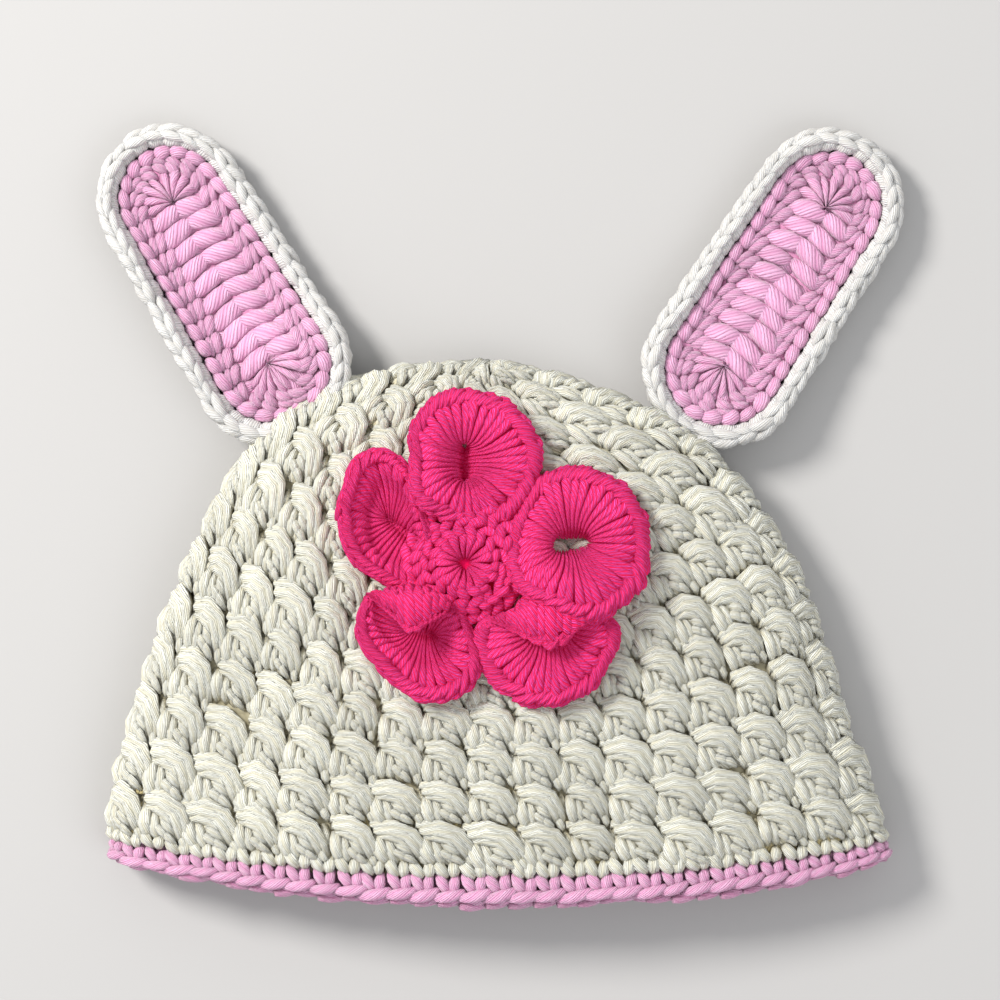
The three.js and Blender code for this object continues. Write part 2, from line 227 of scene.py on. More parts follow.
def mirrored(shape):
    """The same shape turned over from left to right, its faces still outwards."""
    return Shape(shape.points * (-1, 1, 1), shape.corners[::-1], shape.sizes[::-1], shape.uv[::-1])


LOOSE_SIZE, LOOSE_PLACE, LOOSE_TURN = 0.05, 0.16, 0.06  # how much stitches vary: share, millimetres, radians
YARN_START = 40  # the yarn's pattern starts anywhere along this many millimetres


def lay(shape, surface, spots, floor=None, loose=1.0):
    """Copies of a shape bent onto a surface. Each spot is (s, t, ds, dt): where its origin goes, and how far
    a millimetre across and down moves it. Gives the copies, each point's height and its copy's tone."""
    spots = np.asarray(spots, float)
    n, count = len(spots), len(shape.points)
    local = np.tile(shape.points, (n, 1, 1))
    local = local * rng.normal(1.0, LOOSE_SIZE * loose, (n, 1, 3))
    local = local + rng.normal(0, LOOSE_PLACE * loose, (n, 1, 3))
    turn = rng.normal(0, LOOSE_TURN * loose, (n, 1))
    middle = shape.points.mean(0)
    across, down = local[:, :, 0] - middle[0], local[:, :, 1] - middle[1]
    local[:, :, 0] = middle[0] + across - down * turn
    local[:, :, 1] = middle[1] + down + across * turn
    s = spots[:, 0, None] + local[:, :, 0] * spots[:, 2, None]
    t = spots[:, 1, None] + local[:, :, 1] * spots[:, 3, None]
    points, normals = surface.at(s.ravel(), t.ravel())
    points = points + normals * local[:, :, 2].reshape(-1, 1)
    if floor is not None:
        points[:, 2] = np.maximum(points[:, 2], floor)
    order = -1 if spots[0, 2] * spots[0, 3] * surface.facing < 0 else 1  # keeps the faces outwards
    starts = np.repeat(rng.uniform(0, YARN_START, (n, 1)), len(shape.uv), 0) * [1, 0]
    made = Shape(points, (shape.corners[::order][None] + np.arange(n)[:, None] * count).ravel(),
                 np.tile(shape.sizes[::order], n), np.tile(shape.uv[::order], (n, 1)) + starts)
    return made, local[:, :, 2].ravel(), np.repeat(rng.uniform(0, 1, n), count)


def yarn_piece(name, laid, material, node, deep=-2.4, high=0.6):
    """A joined mesh of laid yarn as a finished piece that stands for a CAD node."""
    shape = joined(*[part[0] for part in laid])
    heights = np.concatenate([part[1] for part in laid])
    tones = np.concatenate([part[2] for part in laid])
    mesh = bpy.data.meshes.new(name)
    mesh.vertices.add(len(shape.points))
    mesh.vertices.foreach_set("co", (shape.points * MM).ravel())
    mesh.loops.add(len(shape.corners))
    mesh.loops.foreach_set("vertex_index", shape.corners)
    mesh.polygons.add(len(shape.sizes))
    mesh.polygons.foreach_set("loop_start", np.concatenate([[0], np.cumsum(shape.sizes)[:-1]]))
    mesh.update(calc_edges=True)
    mesh.uv_layers.new(name="yarn").data.foreach_set("uv", shape.uv.ravel())
    # The lift attribute gives each point's height, for the painted recess shade in the yarn's finish.
    depth = np.clip((heights - deep) / (high - deep), 0, 1)
    mesh.attributes.new("lift", "FLOAT", "POINT").data.foreach_set("value", depth)
    mesh.attributes.new("tone", "FLOAT", "POINT").data.foreach_set("value", tones)
    mesh.shade_smooth()
    mesh.materials.append(material)
    piece = bpy.data.objects.new(name, mesh)
    bpy.context.scene.collection.objects.link(piece)
    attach(piece, "root")
    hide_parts(node)
    return piece


def link(tree, source, target):
    tree.links.new(source, target)


def number_node(tree, operation, first, second):
    node = tree.nodes.new("ShaderNodeMath")
    node.operation = operation
    for socket, value in zip(node.inputs, (first, second)):
        if isinstance(value, (int, float)):
            socket.default_value = value
        else:
            link(tree, value, socket)
    return node.outputs[0]


def blend_node(tree, share, first, second, kind="MIX"):
    node = tree.nodes.new("ShaderNodeMix")
    node.data_type = "RGBA"
    node.blend_type = kind
    colours = [socket for socket in node.inputs if socket.type == "RGBA"]
    for socket, value in ((node.inputs[0], share), (colours[0], first), (colours[1], second)):
        if hasattr(value, "is_output"):
            link(tree, value, socket)
        else:
            socket.default_value = value
    return [socket for socket in node.outputs if socket.type == "RGBA"][0]


NOISE_AROUND, NOISE_ALONG = 1.6, 0.3  # how fast the fibres' noise changes round the yarn, and along it
FINE_SCALE, FINE_DETAIL, FINE_ROUGHNESS = 4.0, 3.0, 0.7
GROOVE_WIDTH, GROOVE_DEPTH = 0.9, 0.7
TONE_RANGE = 0.10  # how much darker the darkest stitch is
RECESS_SHADE_FALL = 1.6  # how late the painted recess shade comes in, going down
ROUGH_GROOVE, ROUGH_FALL = 0.78, 0.26  # the roughness in a groove, and how much less it is on a crest


def yarn_fibres_group():
    """Fine fibres that run along the yarn, and the grooves between its plies, with painted highlight on the
    crests and painted shade in the grooves and recesses.
    """
    tree = bpy.data.node_groups.new("yarn_fibres", "ShaderNodeTree")
    for kind, names in (("NodeSocketColor", ("Light", "Shaded", "Recess_Shade")),
                        ("NodeSocketFloat", ("Lift", "Tone", "Fibres", "Wander", "Plies", "Twist",
                                             "Contrast"))):
        for name in names:
            tree.interface.new_socket(name, in_out="INPUT", socket_type=kind)
    for kind, name in (("NodeSocketColor", "Color"), ("NodeSocketFloat", "Height"),
                       ("NodeSocketFloat", "Roughness")):
        tree.interface.new_socket(name, in_out="OUTPUT", socket_type=kind)
    given = tree.nodes.new("NodeGroupInput").outputs
    result = tree.nodes.new("NodeGroupOutput").inputs

    def number(operation, first, second=0.0):
        return number_node(tree, operation, first, second)

    def scaled(value, factor, offset):
        made = number("MULTIPLY_ADD", value, factor)
        made.node.inputs[2].default_value = offset
        return made

    uv = tree.nodes.new("ShaderNodeUVMap")
    uv.uv_map = "yarn"
    split = tree.nodes.new("ShaderNodeSeparateXYZ")
    link(tree, uv.outputs[0], split.inputs[0])
    along, around = split.outputs[0], split.outputs[1]
    angle = number("MULTIPLY", number("ADD", around, number("MULTIPLY", along, given["Twist"])), 2 * math.pi)
    ring = tree.nodes.new("ShaderNodeCombineXYZ")
    link(tree, number("MULTIPLY", number("COSINE", angle), NOISE_AROUND), ring.inputs[0])
    link(tree, number("MULTIPLY", number("SINE", angle), NOISE_AROUND), ring.inputs[1])
    link(tree, number("MULTIPLY", along, NOISE_ALONG), ring.inputs[2])
    noise = tree.nodes.new("ShaderNodeTexNoise")
    noise.inputs["Scale"].default_value = 1.0
    noise.inputs["Detail"].default_value = 2.0
    link(tree, ring.outputs[0], noise.inputs["Vector"])
    wander = number("MULTIPLY", number("SUBTRACT", noise.outputs["Fac"], 0.5), given["Wander"])
    fibre_turn = number("MULTIPLY", angle, number("MULTIPLY", given["Fibres"], 0.5))
    fibre = number("ABSOLUTE", number("SINE", number("ADD", fibre_turn, wander)))
    ply_turn = number("MULTIPLY", angle, number("MULTIPLY", given["Plies"], 0.5))
    ply = number("ABSOLUTE", number("SINE", ply_turn))
    fine = tree.nodes.new("ShaderNodeTexNoise")
    fine.inputs["Scale"].default_value = FINE_SCALE
    fine.inputs["Detail"].default_value = FINE_DETAIL
    fine.inputs["Roughness"].default_value = FINE_ROUGHNESS
    link(tree, ring.outputs[0], fine.inputs["Vector"])
    groove = scaled(number("POWER", ply, GROOVE_WIDTH), GROOVE_DEPTH, 1 - GROOVE_DEPTH)
    patch = number("MULTIPLY", fine.outputs["Fac"], 1.3)
    hairs = number("SUBTRACT", 1.0, number("MULTIPLY", number("SUBTRACT", 1.0, fibre), patch))
    uneven = scaled(fine.outputs["Fac"], 1.0, 0.5)
    body = number("MULTIPLY", number("MULTIPLY", groove, hairs), uneven)
    # Painted highlight and shade: from the shaded colour in the grooves to the lit colour on the crests.
    colour = blend_node(tree, number("POWER", body, given["Contrast"]), given["Shaded"], given["Light"])
    shade = scaled(given["Tone"], TONE_RANGE, 1 - TONE_RANGE)
    toned = tree.nodes.new("ShaderNodeCombineXYZ")
    for socket in toned.inputs:
        link(tree, shade, socket)
    colour = blend_node(tree, 1.0, colour, toned.outputs[0], "MULTIPLY")
    # Painted shade: the colour turns to the recess colour where the yarn lies low.
    recess_shade_share = number("POWER", number("SUBTRACT", 1.0, given["Lift"]), RECESS_SHADE_FALL)
    colour = blend_node(tree, recess_shade_share, colour, given["Recess_Shade"])
    link(tree, colour, result["Color"])
    link(tree, body, result["Height"])
    link(tree, number("SUBTRACT", ROUGH_GROOVE, number("MULTIPLY", body, ROUGH_FALL)), result["Roughness"])
    return tree


yarn_fibres = yarn_fibres_group()


def yarn_material(name, lit_colour, shaded_colour, recess_shade, fibres, wander, plies, twist, bump, sheen, glow=0.0, shine=0.4,
                  contrast=1.0):
    """A yarn finish: its colour lit on the crests, shaded between fibres and in the recesses, as painted
    highlight and painted shade.
    """
    material = bpy.data.materials.new(name)
    material.use_nodes = True
    tree = material.node_tree
    surface = tree.nodes["Principled BSDF"]
    group = tree.nodes.new("ShaderNodeGroup")
    group.node_tree = yarn_fibres
    for socket, value in (("Light", lit_colour), ("Shaded", shaded_colour), ("Recess_Shade", recess_shade)):
        group.inputs[socket].default_value = (*value, 1.0)
    for socket, value in (("Fibres", fibres), ("Wander", wander), ("Plies", plies), ("Twist", twist),
                          ("Contrast", contrast)):
        group.inputs[socket].default_value = value
    for attribute, socket in (("lift", "Lift"), ("tone", "Tone")):
        reader = tree.nodes.new("ShaderNodeAttribute")
        reader.attribute_name = attribute
        link(tree, reader.outputs["Fac"], group.inputs[socket])
    link(tree, group.outputs["Color"], surface.inputs["Base Color"])
    link(tree, group.outputs["Roughness"], surface.inputs["Roughness"])
    relief = tree.nodes.new("ShaderNodeBump")
    relief.inputs["Strength"].default_value = 1.0
    relief.inputs["Distance"].default_value = bump * MM
    link(tree, group.outputs["Height"], relief.inputs["Height"])
    link(tree, relief.outputs["Normal"], surface.inputs["Normal"])
    surface.inputs["Sheen Weight"].default_value = sheen
    surface.inputs["Sheen Roughness"].default_value = 0.4
    surface.inputs["Specular IOR Level"].default_value = shine
    if glow:
        surface.inputs["Subsurface Weight"].default_value = glow
        surface.inputs["Subsurface Radius"].default_value = (1.0, 0.9, 0.75)
        surface.inputs["Subsurface Scale"].default_value = 1.2 * MM
    return material


cream_yarn = yarn_material("cream_yarn", (0.88, 0.885, 0.81), (0.49, 0.45, 0.31), (0.52, 0.43, 0.21),
                           fibres=18, wander=4.0, plies=4, twist=0.035, bump=0.55, sheen=0.15, glow=0.15)

STITCH_WIDE, STITCH_TALL = 11.2, 10.1
WRAP_LINE = np.array([(-5.3, 3.3, -2.4), (-4.7, 2.3, -0.8), (-2.4, 1.9, 0.1), (0.7, 2.3, 0.4),
                      (2.7, 4.3, 0.2), (3.7, 7.0, -0.2), (4.6, 10.9, -2.2)])
# Which way each of the wrap's strands lies from its middle line, at the line's seven points.
WRAP_SIDE = np.array([(-0.4, -0.8, 0), (-0.6, -0.9, 0), (0.1, -1.0, 0), (0.6, -0.8, 0),
                      (0.9, -0.4, 0), (1.0, 0.0, 0), (0.8, 0.1, 0)])
wrap = [strand(WRAP_LINE + WRAP_SIDE * side + (0, 0, rise),
               [(0.9, 0.9), (wide, 1.5), (wide + 0.15, 1.6), (wide, 1.5), (0.9, 0.9)], sides=5, steps=6)
        for side, rise, wide in ((1.75, -0.1, 1.3), (0.1, 0.35, 1.45), (-1.5, -0.25, 1.3))]
long_leg = strand([(-4.5, 4.0, -1.2), (-4.3, 6.2, 0.3), (-4.0, 8.4, 0.3), (-3.3, 11.4, -1.8)],
                  [(1.2, 1.0), (1.6, 1.4), (1.55, 1.4), (1.0, 1.0)], sides=5, steps=5)
short_leg = strand([(-2.3, 4.6, -1.0), (-2.0, 6.8, 0.0), (-1.7, 8.8, -0.1), (-1.0, 11.4, -2.0)],
                   [(1.0, 0.9), (1.35, 1.2), (1.3, 1.1), (0.9, 0.9)], sides=5, steps=5)
loops = [strand([(-0.9 + dx, 6.0 + dy, -0.8), (0.4 + dx, 6.5 + dy, 0.9), (1.6 + dx, 7.5 + dy, 0.7),
                 (2.5 + dx, 8.9 + dy, -1.0)],
                [(0.6, 0.6), (1.05, 0.95), (0.95, 0.9), (0.5, 0.5)], sides=5, steps=5)
         for dx, dy in ((0.3, -0.3), (-0.7, 1.3), (0.9, 2.2))]
side_strand = strand([(4.3, 8.2, -1.6), (5.2, 9.6, 0.1), (5.4, 11.6, -1.6)],
                     [(0.7, 0.7), (1.15, 1.1), (0.7, 0.7)], sides=5, steps=4)
gap_strand = strand([(5.5, 2.4, -2.0), (5.9, 5.4, -0.9), (5.6, 8.6, -2.0)],
                    [(0.9, 0.7), (1.6, 1.1), (0.9, 0.7)], sides=5, steps=4)
padding = strand([(-0.6, 3.6, -1.8), (0.4, 6.5, -1.1), (1.0, 11.2, -2.0)],
                 [(2.4, 1.0), (3.9, 1.5), (3.2, 1.1)], sides=5, steps=4)
block = joined(*wrap, gap_strand, long_leg, short_leg, *loops, side_strand, padding)
plain_block = joined(*wrap, gap_strand, long_leg, short_leg, loops[0], padding)

# How many stitches go round each row: the crown's rounds increase until the hat is wide enough.
STITCHES = [8, 12, 16, 20, 24, 28, 32, 34, 34, 34, 34, 34, 34]


def round_spots(row, count, front):
    """Places for one round's stitches on the front panel or the back one."""
    start = 0.0 if front else 0.5
    return [(start + (k + 0.5) / count, row, -1 / count / STITCH_WIDE, 1 / STITCH_TALL)
            for k in range(count // 2)]


INSIDE_ROWS = (10.95, 11.95)  # the rounds that show inside the mouth
GROUND = 0.05  # no yarn goes lower than this above the surface
HAT_LOOSE = 1.25
for side, front, made in (("front", True, block), ("back", False, plain_block)):
    laid = [lay(made, hat_outside, round_spots(row, count, front), floor=GROUND, loose=HAT_LOOSE)
            for row, count in enumerate(STITCHES)]
    laid += [lay(plain_block, hat_inside, round_spots(row, STITCHES[-1], front)) for row in INSIDE_ROWS]
    yarn_piece(f"hat_stitches_{side}", laid, cream_yarn, "hat_body")

# The wall behind the stitches shows a little in their gaps: the same yarn as a close fabric, coloured darker
# as painted shade.
FABRIC_CELLS = 420.0  # loops a metre


def fabric_material(name, lit_colour, shaded_colour):
    """Plain close fabric of the same yarn, for what lies behind and between the stitches; its cells darken
    towards their edges as painted shade between the loops.
    """
    material = bpy.data.materials.new(name)
    material.use_nodes = True
    tree = material.node_tree
    surface = tree.nodes["Principled BSDF"]
    place = tree.nodes.new("ShaderNodeTexCoord")
    cells = tree.nodes.new("ShaderNodeTexVoronoi")
    cells.inputs["Scale"].default_value = FABRIC_CELLS
    link(tree, place.outputs["Object"], cells.inputs["Vector"])
    colour = blend_node(tree, cells.outputs["Distance"], (*lit_colour, 1), (*shaded_colour, 1))
    link(tree, colour, surface.inputs["Base Color"])
    relief = tree.nodes.new("ShaderNodeBump")
    relief.inputs["Strength"].default_value = 0.8
    relief.inputs["Distance"].default_value = 0.8 * MM
    relief.invert = True
    link(tree, cells.outputs["Distance"], relief.inputs["Height"])
    link(tree, relief.outputs["Normal"], surface.inputs["Normal"])
    surface.inputs["Roughness"].default_value = 0.9
    surface.inputs["Specular IOR Level"].default_value = 0.2
    return material


cream_fabric = fabric_material("cream_fabric", (0.40, 0.37, 0.26), (0.25, 0.22, 0.14))


def core(name, node, shrink, material):
    """The fabric behind a piece's stitches: its CAD solid, drawn in from every side by shrink millimetres."""
    bm = bmesh.new()
    bm.from_mesh(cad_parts[node].data)
    bmesh.ops.remove_doubles(bm, verts=bm.verts, dist=0.01 * MM)
    bmesh.ops.recalc_face_normals(bm, faces=bm.faces)
    bm.normal_update()
    for vert in bm.verts:
        vert.co -= vert.normal * shrink * MM
    mesh = bpy.data.meshes.new(name)
    bm.to_mesh(mesh)
    bm.free()
    mesh.shade_smooth()
    mesh.materials.append(material)
    piece = bpy.data.objects.new(name, mesh)
    bpy.context.scene.collection.objects.link(piece)
    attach(piece, "root")
    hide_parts(node)
    return piece


core("hat_wall", "hat_body", 1.9, cream_fabric)

# ---- Rim edging ----
# One round of cream single crochet, then one round in soft pink cotton. The pink round ends in a chain of
# slanted loops that wraps the free edge.
soft_pink_yarn = yarn_material("soft_pink_yarn", (0.78, 0.44, 0.63), (0.53, 0.20, 0.36), (0.46, 0.13, 0.25),
                               fibres=16, wander=3.0, plies=4, twist=0.06, bump=0.4, sheen=0.3, glow=0.15)
RIM_STITCHES = 66
RIM_WIDE, RIM_TALL = 6.1, 9.6
CREAM_ROUND, PINK_ROUND = 12.98, 13.36
bump_pair = joined(
    strand([(-2.6, -0.6, -1.8), (-1.9, 1.0, -0.1), (-0.9, 2.8, -0.3), (-0.4, 4.2, -1.8)],
           [(0.9, 0.8), (1.7, 1.4), (1.5, 1.2), (0.8, 0.7)], sides=5, steps=5),
    strand([(2.2, -0.4, -1.8), (1.7, 1.2, -0.2), (1.3, 2.8, -0.4), (1.0, 4.2, -1.8)],
           [(0.9, 0.8), (1.6, 1.3), (1.4, 1.1), (0.8, 0.7)], sides=5, steps=5))
pink_legs = joined(
    strand([(-2.4, -0.6, -1.8), (-1.7, 1.2, -0.3), (-0.8, 3.2, -0.5), (-0.2, 5.2, -1.4)],
           [(0.8, 0.7), (1.55, 1.2), (1.45, 1.1), (0.9, 0.8)], sides=7, steps=6),
    strand([(2.3, -0.4, -1.8), (1.6, 1.4, -0.4), (1.4, 3.2, -0.6), (1.2, 5.2, -1.6)],
           [(0.8, 0.7), (1.45, 1.1), (1.4, 1.1), (0.9, 0.8)], sides=7, steps=6))
upper_chain = strand([(-4.4, 6.3, -1.4), (-2.2, 5.9, 0.1), (0.6, 5.1, 0.5), (3.4, 4.1, -0.6),
                      (4.2, 3.8, -1.4)],
                     [(0.8, 0.8), (1.4, 1.2), (1.6, 1.3), (1.2, 1.1), (0.6, 0.6)], sides=8, steps=8)
under_chain = strand([(-4.2, 7.5, -3.6), (-1.8, 7.3, -2.6), (1.2, 6.7, -1.8), (3.8, 6.1, -2.2)],
                     [(0.8, 0.8), (1.4, 1.3), (1.4, 1.3), (0.7, 0.7)], sides=8, steps=7)


def rim_spots(row):
    return [((k + 0.5) / RIM_STITCHES, row, -1 / RIM_STITCHES / RIM_WIDE, 1 / RIM_TALL)
            for k in range(RIM_STITCHES)]


cream_round = [lay(bump_pair, surface, rim_spots(CREAM_ROUND), floor=GROUND)
               for surface in (hat_outside, hat_inside)]
yarn_piece("rim_cream_round", cream_round, cream_yarn, "hat_body")
pink_stitch = joined(pink_legs, upper_chain, under_chain)
pink_round = [lay(pink_stitch, surface, rim_spots(PINK_ROUND), floor=GROUND)
              for surface in (hat_outside, hat_inside)]
yarn_piece("rim_pink_round", pink_round, soft_pink_yarn, "rim_edging", deep=-9.0)

# ---- Ears ----
# Each ear is a soft pink panel worked round a centre line, with a white back whose thick border is turned up
# round it and finished with a chain along its edge. Its base is tucked behind the hat's fold and sewn there.
Ear = namedtuple("Ear", "name x y lean taper curl cup pucker")
EARS = [Ear("left_ear", -71.4, 159.5, 31.6, 0.10, 7.0, 1.0, 4.0),
        Ear("right_ear", 70.6, 158.4, -33.0, 0.06, 0.0, 1.4, 0.0)]
EAR_LENGTH, EAR_WIDTH, EAR_BASE_LIFT = 90.0, 41.0, 4.5
EAR_STRAIGHT = EAR_LENGTH - EAR_WIDTH
EAR_ROUND = math.pi * EAR_WIDTH / 2
EAR_EDGE = 2 * (EAR_STRAIGHT + EAR_ROUND)


def ease(value):
    value = np.clip(value, 0, 1)
    return value * value * (3 - 2 * value)


EAR_POINTS, EAR_LINES = 240, 25


def ear_line(ear, inset, height):
    """A line round an ear, inset from its edge. It rises where the base meets the fold and a side curls."""
    radius = EAR_WIDTH / 2 - inset
    run = np.linspace(0, EAR_EDGE, EAR_POINTS, endpoint=False)
    side = np.where(run < EAR_EDGE / 2, 1.0, -1.0)
    run = run % (EAR_EDGE / 2)
    turn = np.clip((run - EAR_STRAIGHT) / (EAR_WIDTH / 2), 0, math.pi)
    across = side * radius * np.cos(turn)
    along = side * (np.minimum(run, EAR_STRAIGHT) - EAR_STRAIGHT / 2 + radius * np.sin(turn))
    u, v = across / (EAR_WIDTH / 2), along / (EAR_LENGTH / 2)
    lift = (EAR_BASE_LIFT * ease(-v * 0.9 + 0.1) + ear.cup * u * u
            + ear.curl * np.maximum(0, -u) ** 2 * np.exp(-(((v - 0.15) / 0.8) ** 2))
            + ear.pucker * np.exp(-(((u - 0.35) / 0.4) ** 2) - ((v + 0.62) / 0.22) ** 2))
    narrow = 1 - ear.taper * ease(along / EAR_LENGTH + 0.5)
    lean = math.radians(ear.lean)
    return np.column_stack([ear.x + across * narrow * math.cos(lean) - along * math.sin(lean),
                            ear.y + across * narrow * math.sin(lean) + along * math.cos(lean),
                            height + lift]) + SHIFT


def ear_surface(ear, section, last, facing):
    """The surface that follows a section of (inset, height) points all round the ear."""
    stations = spline(section, np.linspace(0, len(section) - 1, EAR_LINES))
    return Surface([ear_line(ear, inset, height) for inset, height in stations], last, facing)


white_yarn = yarn_material("white_yarn", (0.72, 0.71, 0.69), (0.46, 0.44, 0.41), (0.48, 0.36, 0.38),
                           fibres=18, wander=3.0, plies=3, twist=0.05, bump=0.3, sheen=0.15, glow=0.2)
# The ears' backing fabrics are darker than their yarns: painted shade.
white_fabric = fabric_material("white_fabric", (0.60, 0.56, 0.54), (0.46, 0.42, 0.40))
pink_fabric = fabric_material("pink_fabric", (0.72, 0.34, 0.53), (0.48, 0.18, 0.32))
BORDER_SECTION = [(5.3, 3.2), (5.0, 5.2), (4.1, 6.8), (2.9, 7.4), (1.5, 6.9), (0.6, 5.0), (0.4, 3.2),
                  (1.0, 1.4), (2.4, 0.5)]
BORDER_RUN = 14.5  # the section's length in millimetres, which t counts along
inner_wrap = strand([(-3.0, 5.5, -0.6), (-1.2, 4.4, 0.1), (1.2, 2.6, 0.1), (3.0, 1.0, -0.6)],
                    [(1.8, 0.5), (2.6, 0.75), (2.6, 0.75), (1.8, 0.5)], sides=8, steps=6)
under_wrap = strand([(-1.0, 9.0, -0.8), (0.0, 11.4, 0.0), (1.0, 14.4, -0.8)],
                    [(1.8, 0.8), (2.4, 1.0), (1.8, 0.8)], sides=6, steps=5)
inner_link = strand([(-4.8, 4.9, -0.8), (-2.2, 5.2, 0.3), (1.4, 5.9, 0.5), (4.8, 6.7, -0.8)],
                    [(0.7, 0.7), (1.15, 1.0), (1.2, 1.0), (0.6, 0.6)], sides=8, steps=8)
outer_link = strand([(-4.8, 8.8, -0.8), (-2.0, 8.3, 0.3), (1.4, 7.5, 0.5), (4.8, 6.8, -0.8)],
                    [(0.7, 0.7), (1.25, 1.05), (1.25, 1.05), (0.7, 0.7)], sides=8, steps=8)
border_stitch = joined(inner_wrap, under_wrap, inner_link, outer_link)

# The panel runs in from the border: a round of fat beads, then tall stitches to the centre line, each a V of
# two thin legs that meets a fat drop.
PANEL_SECTION = [(5.4, 4.4), (7.2, 5.0), (10.0, 5.2), (15.0, 5.2), (20.3, 5.1)]
PANEL_RUN = 14.8
bead = strand([(-1.6, 0.4, -0.7), (-0.7, 2.1, 0.6), (0.7, 4.2, 0.7), (1.7, 5.8, -0.9)],
              [(1.5, 1.1), (2.6, 1.6), (2.6, 1.6), (1.5, 1.1)], sides=8, steps=7)
legs = joined(
    strand([(-2.7, 7.5, -0.8), (-1.3, 6.9, 0.4), (1.1, 6.1, 0.5), (2.6, 5.6, -0.8)],
           [(0.8, 0.7), (1.15, 1.0), (1.15, 1.0), (0.7, 0.7)], sides=7, steps=6),
    strand([(-2.6, 9.5, -0.6), (-1.2, 8.8, 0.6), (1.2, 8.0, 0.6), (2.7, 7.3, -0.6)],
           [(0.8, 0.7), (1.2, 1.0), (1.2, 1.0), (0.7, 0.7)], sides=7, steps=6),
    strand([(0.0, 4.6, -1.4), (0.0, 9.0, -0.6), (0.0, 16.8, -0.4)],
           [(2.2, 0.8), (2.8, 1.0), (2.4, 0.9)], sides=6, steps=5))
drop = strand([(-1.6, 9.0, -0.9), (-0.9, 10.9, 0.6), (0.4, 13.6, 0.9), (1.4, 16.6, -0.4)],
              [(1.3, 1.0), (2.3, 1.5), (2.6, 1.6), (1.6, 1.2)], sides=8, steps=7)
BACK_SECTION = [(1.6, 0.9), (4.0, 0.9), (12.0, 0.9), (20.3, 0.9)]
BACK_RUN = 18.8
BACK_ROUNDS = (2.0, -5.0)
SIDE_STITCHES = 10
BORDER_ENDS, BEAD_ENDS, LEG_ENDS = 11, 9, 8  # stitches round each of the ear's two ends
EDGE_PITCH, LEG_PITCH = 4.9, 5.1


def ear_round(shape, surface, at_end, wide, t=0.0, floor=None, turned=False):
    """A row of stitches wide millimetres across, round an ear, with at_end of them round each end. Where
    turned is set, the row is mirrored about the ear's middle line."""
    side, end = EAR_STRAIGHT / EAR_EDGE, EAR_ROUND / EAR_EDGE
    halves = [[], []]
    for start, share, count in ((0.0, side, SIDE_STITCHES), (side, end, at_end),
                                (side + end, side, SIDE_STITCHES), (2 * side + end, end, at_end)):
        for k in range(count):
            place = start + (k + 0.5) / count * share
            left = turned and side + end / 2 < place < 2 * side + end * 1.5
            halves[left].append((place, t, share / count / wide, 1.0))
    pairs = ((shape, halves[0]), (mirrored(shape), halves[1]))
    return [lay(made, surface, half, floor) for made, half in pairs if half]


back_stitch = mirrored(joined(legs, drop))
for ear in EARS:
    border = ear_surface(ear, BORDER_SECTION, BORDER_RUN, -1.0)
    back = ear_surface(ear, BACK_SECTION, BACK_RUN, -1.0)
    laid = ear_round(border_stitch, border, BORDER_ENDS, EDGE_PITCH, floor=GROUND)
    for t in BACK_ROUNDS:
        laid += ear_round(back_stitch, back, BORDER_ENDS, LEG_PITCH, t, floor=GROUND)
    yarn_piece(f"{ear.name}_border", laid, white_yarn, f"{ear.name}_back", deep=-1.6)
    core(f"{ear.name}_wall", f"{ear.name}_back", 1.3, white_fabric)
    panel = ear_surface(ear, PANEL_SECTION, PANEL_RUN, 1.0)
    laid = (ear_round(bead, panel, BEAD_ENDS, EDGE_PITCH) + ear_round(legs, panel, LEG_ENDS, LEG_PITCH)
            + ear_round(drop, panel, LEG_ENDS, LEG_PITCH, turned=True))
    yarn_piece(f"{ear.name}_panel", laid, soft_pink_yarn, f"{ear.name}_lining", deep=-2.2)
    core(f"{ear.name}_panel_wall", f"{ear.name}_lining", 1.5, pink_fabric)

# ---- Flower ----
# The flower is worked in one piece in a finer bright pink cotton: a small gathered ring and five petals.
# Each petal has tall ribs round a slit, and a corded edge. The two lower ones fold over their slits.
hot_pink_yarn = yarn_material("hot_pink_yarn", (1.0, 0.15, 0.66), (1.0, 0.0, 0.025), (0.95, 0.0, 0.02),
                              fibres=18, wander=2.0, plies=7, twist=0.15, bump=0.9, sheen=0.0, shine=0.08,
                              contrast=1.8)
# The bright pink is given a faint red glow: painted light that lifts its red, in its shadows most of all.
hot_pink_surface = hot_pink_yarn.node_tree.nodes["Principled BSDF"]
hot_pink_surface.inputs["Emission Color"].default_value = (1.0, 0.0, 0.08, 1)
hot_pink_surface.inputs["Emission Strength"].default_value = 0.12
hot_pink_fabric = fabric_material("hot_pink_fabric", (0.95, 0.004, 0.16), (0.80, 0.002, 0.08))
